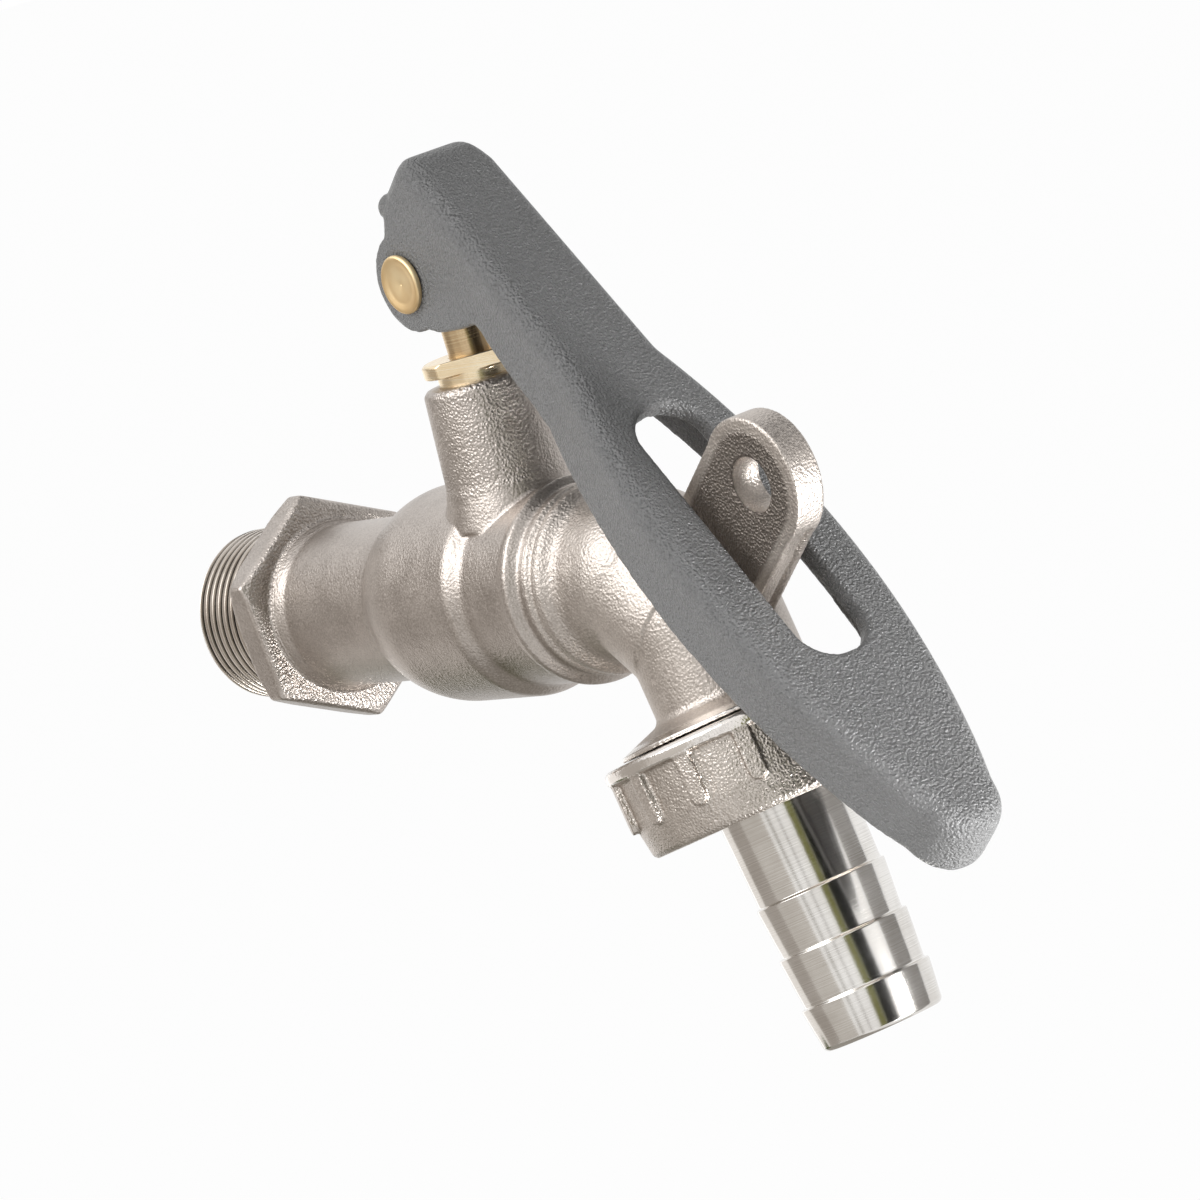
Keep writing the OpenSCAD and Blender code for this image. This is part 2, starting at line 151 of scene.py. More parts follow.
def ellipsoidInto(mesh, centre, radii, seat):
    made = bmesh.ops.create_uvsphere(mesh, u_segments=20, v_segments=12, radius=1)
    for vert in made["verts"]:
        local = Vector([vert.co[i] * radii[i] + centre[i] for i in range(3)])
        vert.co = seat @ (local * mm)


def nodeInto(mesh, node):
    # a copy of a carried-over solid, closed again along its sharp edges
    mesh.from_mesh(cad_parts[node].data)
    bmesh.ops.remove_doubles(mesh, verts=mesh.verts[:], dist=weld)


def asObject(name, mesh):
    data = bpy.data.meshes.new(name)
    mesh.to_mesh(data)
    mesh.free()
    piece = bpy.data.objects.new(name, data)
    bpy.context.scene.collection.objects.link(piece)
    return piece


def crispShading(piece, angle):
    # smooth faces, with a hard line wherever the surface turns by more than so many degrees
    mesh = bmesh.new()
    mesh.from_mesh(piece.data)
    for face in mesh.faces:
        face.smooth = True
    for edge in mesh.edges:
        edge.smooth = len(edge.link_faces) < 2 or edge.calc_face_angle(0) < math.radians(angle)
    mesh.to_mesh(piece.data)
    mesh.free()


def bakeModifiers(piece):
    # what the modifiers make becomes the piece's own mesh, shaded smooth
    bpy.context.view_layer.update()
    depsgraph = bpy.context.evaluated_depsgraph_get()
    result = bpy.data.meshes.new_from_object(piece.evaluated_get(depsgraph))
    piece.modifiers.clear()
    piece.data = result
    for polygon in result.polygons:
        polygon.use_smooth = True


def soften(piece, rounds, group=""):
    # each round draws every point halfway to its neighbours
    smoothing = piece.modifiers.new("soften", "SMOOTH")
    smoothing.factor = 0.5
    smoothing.iterations = rounds
    smoothing.vertex_group = group


def castSkin(piece, voxel, softening):
    # one closed skin over overlapping solids, with edges rounded as in a casting
    skin = piece.modifiers.new("skin", "REMESH")
    skin.mode = "VOXEL"
    skin.voxel_size = voxel * mm
    skin.use_smooth_shade = True
    soften(piece, softening)
    bakeModifiers(piece)


def readRows(items, key, width, kind=np.float64):
    values = np.empty(len(items) * width, dtype=kind)
    items.foreach_get(key, values)
    return values.reshape(-1, width)


def markEdges(piece, reach=2):
    # how far each point stands out from its neighbours, kept for the wear on edges
    gain = 3.0
    data = piece.data
    count = len(data.vertices)
    points = readRows(data.vertices, "co", 3)
    normals = readRows(data.vertices, "normal", 3)
    ends = readRows(data.edges, "vertices", 2, np.int32)
    a, b = ends[:, 0], ends[:, 1]
    span = points[a] - points[b]
    length = np.maximum(np.linalg.norm(span, axis=1), 1e-9)
    total = np.zeros(count)
    degree = np.zeros(count)
    np.add.at(total, a, (normals[a] * span).sum(1) / length)
    np.add.at(total, b, -(normals[b] * span).sum(1) / length)
    np.add.at(degree, a, 1)
    np.add.at(degree, b, 1)
    degree = np.maximum(degree, 1)
    value = total / degree
    for _ in range(reach):
        spread = np.zeros(count)
        np.add.at(spread, a, value[b])
        np.add.at(spread, b, value[a])
        value = 0.5 * value + 0.5 * spread / degree
    layer = data.attributes.new("edgeWear", "FLOAT", "POINT")
    layer.data.foreach_set("value", np.clip(value * gain, 0, 1).astype(np.float32))


def place(piece, body, slot, material, *nodes):
    piece.data.materials.clear()
    piece.data.materials.append(material)
    if nodes:
        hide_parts(*nodes)
    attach(piece, body)


# shader maths

class Wire:
    def __init__(self, tree, socket=None):
        self.tree = tree
        self.socket = socket

    def node(self, kind, settings=None, sockets=None, out=0):
        made = self.tree.nodes.new(kind)
        for key, value in (settings or {}).items():
            setattr(made, key, value)
        feed(self, made, sockets or {})
        return Wire(self.tree, made.outputs[out])

    def maths(self, operation, first, second=0.0):
        return self.node("ShaderNodeMath", {"operation": operation}, {0: first, 1: second})

    def vectors(self, operation, first, second=(0.0, 0.0, 0.0)):
        # a dot product or a length comes out of the second output, as one value
        out = 1 if operation in ("DOT_PRODUCT", "LENGTH") else 0
        return self.node("ShaderNodeVectorMath", {"operation": operation}, {0: first, 1: second}, out)

    def __add__(self, other):
        return self.maths("ADD", self, other)

    def __radd__(self, other):
        return self.maths("ADD", other, self)

    def __sub__(self, other):
        return self.maths("SUBTRACT", self, other)

    def __rsub__(self, other):
        return self.maths("SUBTRACT", other, self)

    def __mul__(self, other):
        return self.maths("MULTIPLY", self, other)

    def __rmul__(self, other):
        return self.maths("MULTIPLY", other, self)

    def between(self, low, high):
        # zero up to low and one from high on, with a soft run between them
        settings = {"interpolation_type": "SMOOTHSTEP"}
        sockets = {"Value": self, "From Min": low, "From Max": high}
        return self.node("ShaderNodeMapRange", settings, sockets)

    def blendTo(self, low, high):
        # a colour between two, by this value
        return self.node("ShaderNodeMix", {"data_type": "RGBA"}, {0: self, 6: low, 7: high}, 2)


def newMaterial(name):
    material = bpy.data.materials.new(name)
    material.use_nodes = True
    tree = material.node_tree
    return material, Wire(tree), tree.nodes["Principled BSDF"]


def feed(wire, target, sockets):
    # link each wire to its socket, and set the plain values
    for key, value in sockets.items():
        if isinstance(value, Wire):
            wire.tree.links.new(value.socket, target.inputs[key])
        else:
            target.inputs[key].default_value = value


def objectSpot(wire):
    return wire.node("ShaderNodeTexCoord", {}, {}, "Object")


def edgeWear(wire):
    return wire.node("ShaderNodeAttribute", {"attribute_name": "edgeWear"}, {}, "Fac")


def noiseOn(wire, spot, scale, detail, rough):
    sockets = {"Vector": spot, "Scale": scale, "Detail": detail, "Roughness": rough}
    return wire.node("ShaderNodeTexNoise", {}, sockets)


def bumped(wire, height, look):
    sockets = {"Height": height, "Strength": look["bump"], "Distance": look["depth"] * mm}
    return wire.node("ShaderNodeBump", {}, sockets)


def alongAxis(wire, spot, origin, direction):
    # distance of a point along an axis, in metres
    shifted = wire.vectors("SUBTRACT", spot, Vector(origin) * mm)
    return wire.vectors("DOT_PRODUCT", shifted, Vector(direction).normalized())


def awayFrom(wire, spot, origin, direction):
    # distance of a point from an axis, in metres
    shifted = wire.vectors("SUBTRACT", spot, Vector(origin) * mm)
    return wire.vectors("LENGTH", wire.vectors("CROSS_PRODUCT", shifted, Vector(direction).normalized()))


def bandMask(wire, spot, band):
    # one between two distances along an axis, with soft ends
    origin, axis, low, high, soft = band
    depth = alongAxis(wire, spot, origin, axis)
    return depth.between(low * mm, (low + soft) * mm) * (1 - depth.between((high - soft) * mm, high * mm))


def lugMask(wire, spot, lug):
    # the lug's flat sides inside their border, which get coarser grain and a painted shade
    along = alongAxis(wire, spot, lug["centre"], leverDown)
    above = alongAxis(wire, spot, lug["centre"], leverUp)
    up = wire.maths("MAXIMUM", above, 0.0)
    reach = wire.maths("SQRT", along * along + up * up)
    aside = wire.maths("ABSOLUTE", alongAxis(wire, spot, (0, 0, 0), (0, 1, 0)))
    inside = 1 - reach.between((lug["radius"] - lug["border"]) * mm, lug["radius"] * mm)
    outward = aside.between(lug["halfWidth"] * mm, (lug["halfWidth"] + lug["step"]) * mm)
    return inside * outward * above.between(-lug["length"] * mm, (lug["fade"] - lug["length"]) * mm)


# how grain, cloud and pits share the tone, the roughness and the height of a casting
castShares = {
    "cloud": 180.0,
    "contrast": (0.3, 0.7),
    "grainTone": 0.6,
    "cloudTone": 0.4,
    "grainRough": 0.2,
    "cloudRough": 0.1,
    "grainHeight": 0.5,
    "pitHeight": 0.7,
    "polishHeight": 0.85,
}


def castNickel(name, look):
    material, wire, shader = newMaterial(name)
    share = castShares
    spot = objectSpot(wire)
    grain = noiseOn(wire, spot, look["grain"], 1.0, 0.5)
    cloud = noiseOn(wire, spot, share["cloud"], 3.0, 0.6)
    cells = {"Vector": spot, "Scale": look["cells"]}
    pits = wire.node("ShaderNodeTexVoronoi", {"feature": "F1"}, cells)
    polish = edgeWear(wire).between(look["wearFrom"], look["wearTo"])
    for band in look.get("polishedBands", []):
        polish = wire.maths("MAXIMUM", polish, bandMask(wire, spot, band))
    coarse = look["evenGrain"]
    for band in look.get("coarseBands", []):
        coarse = wire.maths("MAXIMUM", coarse, bandMask(wire, spot, band))
    tone = grain * share["grainTone"] + cloud * share["cloudTone"]
    base = tone.between(*share["contrast"]).blendTo(look["dark"], look["pale"])
    lift = 1.0
    # painted shade: the lug's flat sides, between the lever's slot walls, get a darker colour, and their
    # grain is made coarser
    if "lugFace" in look:
        lugShadeAndGrain = lugMask(wire, spot, look["lugFace"])
        coarse = wire.maths("MAXIMUM", coarse, lugShadeAndGrain)
        lift = 1 + lugShadeAndGrain * look["lugFace"]["lift"]
        base = lugShadeAndGrain.blendTo(base, look["lugFace"]["tone"])
    rough = look["rough"] + (cloud - 0.5) * share["cloudRough"] + (grain - 0.5) * share["grainRough"]
    height = grain * share["grainHeight"] + pits * share["pitHeight"]
    height = height * coarse * lift * (1 - polish * share["polishHeight"])
    feed(wire, shader, {
        "Base Color": polish.blendTo(base, look["bright"]),
        "Metallic": 1.0,
        "Roughness": rough * (1 - polish * look["polishGain"]),
        "Normal": bumped(wire, height, look),
    })
    return material


# how tool lines, cloud and specks share a turned surface, with the wander of the painted shade's edge in the
# grooves, in mm
turnedShares = {
    "cloud": 120.0,
    "speck": 2600.0,
    "contrast": (0.3, 0.7),
    "cloudTone": 0.6,
    "lineTone": 0.4,
    "lineRough": 0.12,
    "cloudRough": 0.1,
    "lineHeight": 0.8,
    "speckHeight": 0.2,
    "grooveWander": 0.2,
    "grooveRough": 0.3,
}


def turnedMetal(name, look):
    material, wire, shader = newMaterial(name)
    share = turnedShares
    spot = objectSpot(wire)
    depth = alongAxis(wire, spot, look["origin"], look["axis"])
    sockets = {"W": depth, "Scale": look["lines"], "Detail": 3.0}
    lines = wire.node("ShaderNodeTexNoise", {"noise_dimensions": "1D"}, sockets)
    cloud = noiseOn(wire, spot, share["cloud"], 3.0, 0.6)
    speck = noiseOn(wire, spot, share["speck"], 1.0, 0.5)
    tone = cloud * share["cloudTone"] + lines * share["lineTone"]
    colour = tone.between(*share["contrast"]).blendTo(look["dark"], look["pale"])
    rough = look["rough"] + (lines - 0.5) * share["lineRough"] + (cloud - 0.5) * share["cloudRough"]
    if "groove" in look:
        # painted shade that darkens the grooves below the crests, and not the end face
        crestFrom, crestTo = look["grooveRadii"]
        faceFrom, faceTo = look["endFace"]
        radius = awayFrom(wire, spot, look["origin"], look["axis"])
        unshaded = radius + (cloud - 0.5) * (share["grooveWander"] * mm)
        unshaded = unshaded.between(crestFrom * mm, crestTo * mm)
        endFace = 1 - radius.between(faceFrom * mm, faceTo * mm)
        unshaded = wire.maths("MAXIMUM", unshaded, endFace)
        colour = unshaded.blendTo(look["groove"], colour)
        rough = rough + (1 - unshaded) * share["grooveRough"]
    height = lines * share["lineHeight"] + speck * share["speckHeight"]
    feed(wire, shader, {
        "Base Color": colour,
        "Metallic": 1.0,
        "Roughness": rough,
        "Normal": bumped(wire, height, look),
    })
    return material


# how pebbles, their grain and cloud share a moulded surface
mouldedShares = {
    "softness": 0.6,
    "grainFiner": 1.3,
    "cloud": 60.0,
    "wear": (0.15, 0.7),
    "contrast": (0.25, 0.75),
    "pebbleTone": 0.6,
    "grainTone": 0.3,
    "cloudTone": 0.3,
    "grainRough": 0.2,
    "cloudRough": 0.08,
    "grainHeight": 0.6,
    "pebbleHeight": 0.6,
}


def mouldedPlastic(name, look):
    material, wire, shader = newMaterial(name)
    share = mouldedShares
    spot = objectSpot(wire)
    sockets = {"Vector": spot, "Scale": look["pebble"], "Smoothness": share["softness"]}
    pebble = wire.node("ShaderNodeTexVoronoi", {"feature": "SMOOTH_F1"}, sockets)
    grain = noiseOn(wire, spot, look["pebble"] * share["grainFiner"], 2.0, 0.5)
    cloud = noiseOn(wire, spot, share["cloud"], 3.0, 0.5)
    worn = edgeWear(wire).between(*share["wear"])
    tone = pebble * share["pebbleTone"] + grain * share["grainTone"] + cloud * share["cloudTone"]
    shade = tone.between(*share["contrast"]).blendTo(look["pale"], look["dark"])
    rough = look["rough"] + (grain - 0.5) * share["grainRough"] + (cloud - 0.5) * share["cloudRough"]
    height = grain * share["grainHeight"] + (1 - pebble) * share["pebbleHeight"]
    feed(wire, shader, {
        "Base Color": (worn * look["edgeShare"]).blendTo(shade, look["edge"]),
        "Roughness": rough,
        "Normal": bumped(wire, height, look),
        "Specular IOR Level": look["gloss"],
    })
    return material


nickelTones = {
    "dark": (0.50, 0.452, 0.41, 1),
    "pale": (0.69, 0.635, 0.585, 1),
    "bright": (0.84, 0.80, 0.76, 1),
    "wearFrom": 0.42,
    "wearTo": 0.9,
    "polishGain": 0.5,
}
spoutFoot = (tap["spoutX"], 0, 0)
bodyNickel = castNickel("satin cast nickel", {
    **nickelTones, "dark": (0.41, 0.368, 0.335, 1), "pale": (0.575, 0.525, 0.485, 1),
    "grain": 3400.0, "cells": 2300.0, "rough": 0.37, "bump": 1.0, "depth": 0.17, "evenGrain": 0.36,
    "coarseBands": [((0, 0, 0), (0, 0, 1), 15.0, 45.0, 2.0), ((0, 0, 0), (1, 0, 0), 4.6, 6.4, 0.5)],
})
spoutNickel = castNickel("rough cast nickel", {
    **nickelTones, "dark": (0.45, 0.405, 0.37, 1), "pale": (0.64, 0.587, 0.54, 1),
    "grain": 3200.0, "cells": 2200.0, "rough": 0.45, "bump": 1.0, "depth": 0.20, "evenGrain": 0.6,
    "polishedBands": [(spoutFoot, spoutDown, 20.4, 22.6, 0.4)],
    # lugFace darkens the lug's flat sides with painted shade and makes their grain coarser
    "lugFace": {"centre": (119.66, 0, 11.26), "radius": 8.4, "border": 1.2, "halfWidth": 2.2, "step": 0.2,
                "length": 19.0, "fade": 3.0, "lift": 1.0, "tone": (0.215, 0.188, 0.166, 1)},
})
nutNickel = castNickel("ribbed nut nickel", {
    **nickelTones,
    "grain": 3600.0, "cells": 2500.0, "rough": 0.34, "bump": 1.0, "depth": 0.15, "evenGrain": 1.0,
    "polishedBands": [(spoutFoot, spoutDown, 20.5, 24.4, 0.3)],
})
threadNickel = turnedMetal("cut thread nickel", {
    "dark": (0.46, 0.40, 0.34, 1), "pale": (0.66, 0.60, 0.54, 1), "rough": 0.28,
    "lines": 5200.0, "bump": 0.3, "depth": 0.03, "origin": (0, 0, 0), "axis": (1, 0, 0),
    # the thread's grooves get a painted shade colour below the crests
    "groove": (0.02, 0.018, 0.015, 1), "grooveRadii": (12.75, 13.1), "endFace": (11.85, 11.98),
})
tailNickel = turnedMetal("bright turned nickel", {
    "dark": (0.64, 0.61, 0.57, 1), "pale": (0.84, 0.82, 0.79, 1), "rough": 0.15,
    "lines": 6200.0, "bump": 0.25, "depth": 0.02, "origin": (tap["spoutX"], 0, 0), "axis": spoutDown,
})
stemBrass = turnedMetal("turned brass", {
    "dark": (0.56, 0.40, 0.23, 1), "pale": (0.84, 0.68, 0.44, 1), "rough": 0.26,
    "lines": 4200.0, "bump": 0.3, "depth": 0.02, "origin": (0, 0, 0), "axis": (0, 0, 1),
})
glandBrass = turnedMetal("bright brass", {
    "dark": (0.86, 0.67, 0.42, 1), "pale": (0.99, 0.88, 0.66, 1), "rough": 0.26,
    "lines": 5200.0, "bump": 0.3, "depth": 0.02, "origin": (0, 0, 0), "axis": (0.1, 0.1, 1),
})
rivetBrass = turnedMetal("dull brass", {
    "dark": (0.82, 0.59, 0.31, 1), "pale": (0.99, 0.83, 0.54, 1), "rough": 0.46,
    "lines": 2600.0, "bump": 0.35, "depth": 0.03, "origin": (0, 0, 0), "axis": (0, 1, 0),
})
ballChrome = turnedMetal("polished ball", {
    "dark": (0.74, 0.74, 0.74, 1), "pale": (0.88, 0.88, 0.88, 1), "rough": 0.10,
    "lines": 3000.0, "bump": 0.1, "depth": 0.01, "origin": (0, 0, 0), "axis": (0, 1, 0),
})
leverPlastic = mouldedPlastic("pebbled grey plastic", {
    "dark": (0.158, 0.158, 0.158, 1), "pale": (0.190, 0.190, 0.190, 1), "edge": (0.19, 0.19, 0.19, 1),
    "edgeShare": 0.0, "pebble": 2300.0, "rough": 0.34, "bump": 1.0, "depth": 0.60, "gloss": 0.6,
})
waxyWhite = mouldedPlastic("waxy white", {
    "dark": (0.78, 0.78, 0.76, 1), "pale": (0.90, 0.90, 0.88, 1), "edge": (0.92, 0.92, 0.92, 1),
    "edgeShare": 0.3, "pebble": 1800.0, "rough": 0.42, "bump": 0.15, "depth": 0.03, "gloss": 0.5,
})
blackRubber = mouldedPlastic("black rubber", {
    "dark": (0.012, 0.012, 0.012, 1), "pale": (0.030, 0.030, 0.030, 1), "edge": (0.05, 0.05, 0.05, 1),
    "edgeShare": 0.3, "pebble": 1600.0, "rough": 0.62, "bump": 0.25, "depth": 0.04, "gloss": 0.4,
})
print("materials ready")


# body casting with its hexagon, ball housing and neck

body = {
    "tubeR": 12.5,
    "fillet": 0.9,
    "filletLong": 2.8,
    "insideHex": 1.0,
    "hexFlats": 31.7,
    "hexDepth": 5.4,
    "hexTurn": 3.7,
    "hexEdge": 1.3,
    "cornerOver": 0.2,
    "inletChamfer": (1.5, 0.6),  # its length, and how far over the flats it starts
    "shoulderChamfer": (1.2, 0.9),
    "housingR": 16.4,
    "swellX": 42.2,
    "swell": 20.0,
    "swellSteps": 12,
    # outline points as radius and distance, from the stem axis and from the housing's end
    "band": [(16.4, -2.4), (16.2, -1.6), (15.05, 0.2), (14.9, 0.9)],
    "collar": [(14.9, -4.6), (15.4, -3.9), (15.4, -2.8), (13.9, -1.5), (13.9, 0)],
    "housingEnd": 75.0,
    "bore": 8.5,
    "chamberR": 10.35,
    "chamberStart": 49.2,
    "chamberEnd": 70.2,
    "noseR": 12.2,
    "neckR": 8.6,
    "neckFoot": 9.45,
    "neckFlare": [(1.6, 11.0), (0.9, 14.0), (0.0, 17.5)],  # how far over the foot's radius, and height
    "neckEdge": 0.7,
    "packingR": 5.95,
    "packingFloor": 22.0,
    "stemHoleR": 3.45,
    "segments": 128,
    "hexSegments": 240,
    "hexSteps": 24,
    "neckSegments": 96,
    "voxel": 0.26,
    "softening": 5,
}


def housingOutline():
    # the swell is an arc from the tube's radius out to the housing's
    tubeR, housingR, swell, end = body["tubeR"], body["housingR"], body["swell"], body["housingEnd"]
    foot, depth = tubeR + body["fillet"], body["hexDepth"]
    widest = math.acos((tubeR - housingR + swell) / swell)
    outer = [(foot, body["insideHex"]), (foot, depth), (tubeR, depth + body["filletLong"])]
    for i in range(body["swellSteps"] + 1):
        angle = -widest * (1 - i / body["swellSteps"])
        outer.append((housingR - swell + swell * math.cos(angle), body["swellX"] + swell * math.sin(angle)))
    outer += [(r, tap["stemX"] + x) for r, x in body["band"]]
    outer += [(r, end + x) for r, x in body["collar"]]
    inner = [
        (body["noseR"], end), (body["noseR"], body["chamberEnd"]),
        (body["chamberR"], body["chamberEnd"]), (body["chamberR"], body["chamberStart"]),
        (body["bore"], body["chamberStart"]), (body["bore"], body["insideHex"]),
    ]
    return outer + inner


def neckOutline():
    top, edge, hole = tap["neckTop"], body["neckEdge"], body["stemHoleR"]
    outer = [(body["neckFoot"] + over, height) for over, height in body["neckFlare"]]
    outer += [(body["neckR"], top - edge), (body["neckR"] - edge, top)]
    inner = [(body["packingR"], top), (body["packingR"], body["packingFloor"]), (hole, body["packingFloor"])]
    return [(hole, body["neckFlare"][0][1])] + outer + inner


def hexRadius(angle, along):
    # the flats, turned down at both ends, with the shoulder's edge rounded
    half, depth, edge = body["hexFlats"] / 2, body["hexDepth"], body["hexEdge"]
    toFlat = (angle - math.radians(body["hexTurn"])) % (math.pi / 3) - math.pi / 6
    flat = half / math.cos(toFlat)
    corner = body["hexFlats"] / math.sqrt(3) + body["cornerOver"]
    turned = corner
    for chamfer, inward in (("inletChamfer", along), ("shoulderChamfer", depth - along)):
        length, over = body[chamfer]
        if inward < length:
            turned = half + over + (corner - half - over) * inward / length
    t = max(0, (along - depth + edge) / edge)
    return min(flat, turned) - edge * (1 - math.sqrt(max(0, 1 - t * t))), along


mesh = bmesh.new()
latheInto(mesh, housingOutline(), alongInlet, body["segments"])
hexRows = [body["hexDepth"] * i / body["hexSteps"] for i in range(body["hexSteps"] + 1)]
surfaceInto(mesh, hexRadius, hexRows, body["bore"], alongInlet, body["hexSegments"])
latheInto(mesh, neckOutline(), upStem, body["neckSegments"])
bodyCasting = asObject("body_casting", mesh)
castSkin(bodyCasting, body["voxel"], body["softening"])
markEdges(bodyCasting)
place(bodyCasting, "tap", "body_casting", bodyNickel, "tap_body")
print("body casting", len(bodyCasting.data.polygons))


# inlet thread

inletThread = {
    "pitch": 1.814,
    "crest": 13.22,
    # one pitch, as shares of it and depths below the crest
    "wave": [(0, 1.16), (0.08, 1.16), (0.17, 0.696), (0.25, 0.12), (0.28, 0.03), (0.32, 0),
             (0.68, 0), (0.72, 0.03), (0.75, 0.12), (0.83, 0.696), (0.92, 1.16)],
    "start": -17.0,
    "end": 0.6,
    "fadeEnd": -1.2,
    "tipR": 11.8,
    "tipSlope": 1.1,
    "segments": 144,
    "weld": 0.0005,
    "sliver": 0.004,
}


def helixInto(mesh, look, seat):
    # a thread whose crest climbs one pitch for each turn
    pitch, low, high = look["pitch"], look["start"], look["end"]
    turns = int((high - low) / pitch) + 3
    steps = [(turn + share, below) for turn in range(turns) for share, below in look["wave"]]

    def radiusAt(angle, step):
        share, below = steps[step]
        along = low - pitch + (share + angle / (2 * math.pi)) * pitch
        fade = min(1, max(0, (look["fadeEnd"] - along) / pitch))
        tip = look["tipR"] + max(0, along - low) * look["tipSlope"]
        return min(look["crest"] - below * fade, tip), min(max(along, low), high)

    surfaceInto(mesh, radiusAt, range(len(steps)), body["bore"], seat, look["segments"], len(look["wave"]))


mesh = bmesh.new()
helixInto(mesh, inletThread, alongInlet)
bmesh.ops.remove_doubles(mesh, verts=mesh.verts[:], dist=inletThread["weld"] * mm)
bmesh.ops.dissolve_degenerate(mesh, dist=inletThread["sliver"] * mm, edges=mesh.edges[:])
threadPiece = asObject("inlet_thread_cut", mesh)
crispShading(threadPiece, 38)
place(threadPiece, "tap", "body_casting", threadNickel)
print("inlet thread", len(threadPiece.data.polygons))


# spout, union nut, lever and gland nut from the carried-over solids

castings = {
    "spout": {"voxel": 0.26, "softening": 5},
    "nut": {"voxel": 0.24, "softening": 3},
    "leverBlock": {"voxel": 0.40, "softening": 3},
    "lever": {"voxel": 0.40, "softening": 6},
    "gland": {"voxel": 0.16, "softening": 3},
}


def castNode(node, name, settings):
    mesh = bmesh.new()
    nodeInto(mesh, node)
    piece = asObject(name, mesh)
    castSkin(piece, **settings)
    return piece


spoutCasting = castNode("spout_elbow", "spout_casting", castings["spout"])
markEdges(spoutCasting)
place(spoutCasting, "tap", "spout_casting", spoutNickel, "spout_elbow")

nutPiece = castNode("union_nut", "ribbed_union_nut", castings["nut"])
markEdges(nutPiece)
place(nutPiece, "nut", "nut_casting", nutNickel, "union_nut")

# s runs down the lever from the rivet and n stands square on it, in millimetres
lever = {
    "backS": -11.8,
    "faceN": 17.5,
    "halfWidth": 7.7,
    "spread": 1.6,
    "spreadFrom": -8.0,
    "headRound": 5.4,
    "edgeRound": 3.3,
    "roundFrom": -2.0,
    "roundOver": 6.0,
    "clearLow": 1.0,
    "clearHigh": 6.0,
    "holdEnd": 14.0,
    "holdOver": 6.0,
    "nubCentre": (-9.7, -5.4, 5.6),
    "nubRadii": (1.8, 1.4, 2.2),
    "tipBack": 11.0,
    "tipRounds": 90,
}


def roundHead(piece):
    # the head's corners, drawn in to a ball-cornered block
    data = piece.data
    points = readRows(data.vertices, "co", 3)
    toLever = np.array(leverNormal.inverted())
    local = (points @ toLever[:3, :3].T + toLever[:3, 3]) / mm
    s, y, n = local[:, 0], local[:, 1], local[:, 2]
    blend = np.clip((lever["roundFrom"] - s) / lever["roundOver"], 0, 1)
    radius = lever["edgeRound"] + (lever["headRound"] - lever["edgeRound"]) * blend * blend * (3 - 2 * blend)
    width = lever["halfWidth"] + (s - lever["spreadFrom"]) * math.tan(math.radians(lever["spread"]))
    core = np.stack([
        np.maximum(s, lever["backS"] + radius),
        np.clip(y, -(width - radius), width - radius),
        np.minimum(n, lever["faceN"] - radius),
    ], axis=1)
    out = local - core
    length = np.linalg.norm(out, axis=1)
    share = np.where(length > radius, radius / np.maximum(length, 1e-6), 1)
    hold = np.clip((n - lever["clearLow"]) / (lever["clearHigh"] - lever["clearLow"]), 0, 1)
    hold = hold * np.clip((lever["holdEnd"] - s) / lever["holdOver"], 0, 1)
    moved = local + (core + out * share[:, None] - local) * hold[:, None]
    back = np.array(leverNormal)
    data.vertices.foreach_set("co", ((moved * mm) @ back[:3, :3].T + back[:3, 3]).ravel())
    data.update()


leverPiece = castNode("lever", "drop_lever", castings["leverBlock"])
roundHead(leverPiece)
mesh = bmesh.new()
mesh.from_mesh(leverPiece.data)
ellipsoidInto(mesh, lever["nubCentre"], lever["nubRadii"], leverNormal)
mesh.to_mesh(leverPiece.data)
mesh.free()
castSkin(leverPiece, **castings["lever"])
# the tip is rounded like a thumb
tipGroup = leverPiece.vertex_groups.new(name="tip")
along = [(leverNormal.inverted() @ vertex.co).x / mm for vertex in leverPiece.data.vertices]
tipEnd = max(along)
for index, s in enumerate(along):
    share = min(1.0, max(0.0, (s - tipEnd + lever["tipBack"]) / lever["tipBack"]))
    if share > 0:
        tipGroup.add([index], share, "REPLACE")
soften(leverPiece, lever["tipRounds"], "tip")
bakeModifiers(leverPiece)
markEdges(leverPiece, 4)
place(leverPiece, "lever_arm", "lever", leverPlastic, "lever")

glandPiece = castNode("gland_nut", "gland_nut_machined", castings["gland"])
markEdges(glandPiece)
place(glandPiece, "tap", "gland", glandBrass, "gland_nut")
print("castings", len(spoutCasting.data.polygons), len(nutPiece.data.polygons), len(leverPiece.data.polygons))


# turned hose tail

tail = {
    "flangeStart": 32.15,
    "flangeEnd": 34.15,
    "flangeR": 16.22,
    "r": 9.85,
    "waist": (0.1, 0.15, 0.5),  # below that radius at the flange, the middle and the first barb
    "waistMiddle": 37.2,
    "first": 48.6,
    "pitch": 7.7,
    "barbs": 3,
    "barbFlat": 0.2,
    "barbStep": 0.65,
    "lastShort": 0.9,
    "tip": [(0.75, 0.5), (1.2, 0.0)],  # below that radius, and short of the end
    "bore": 7.3,
    "mouthWide": 0.6,
    "mouthDeep": 0.5,
    "edge": 0.22,
    "segments": 144,
}


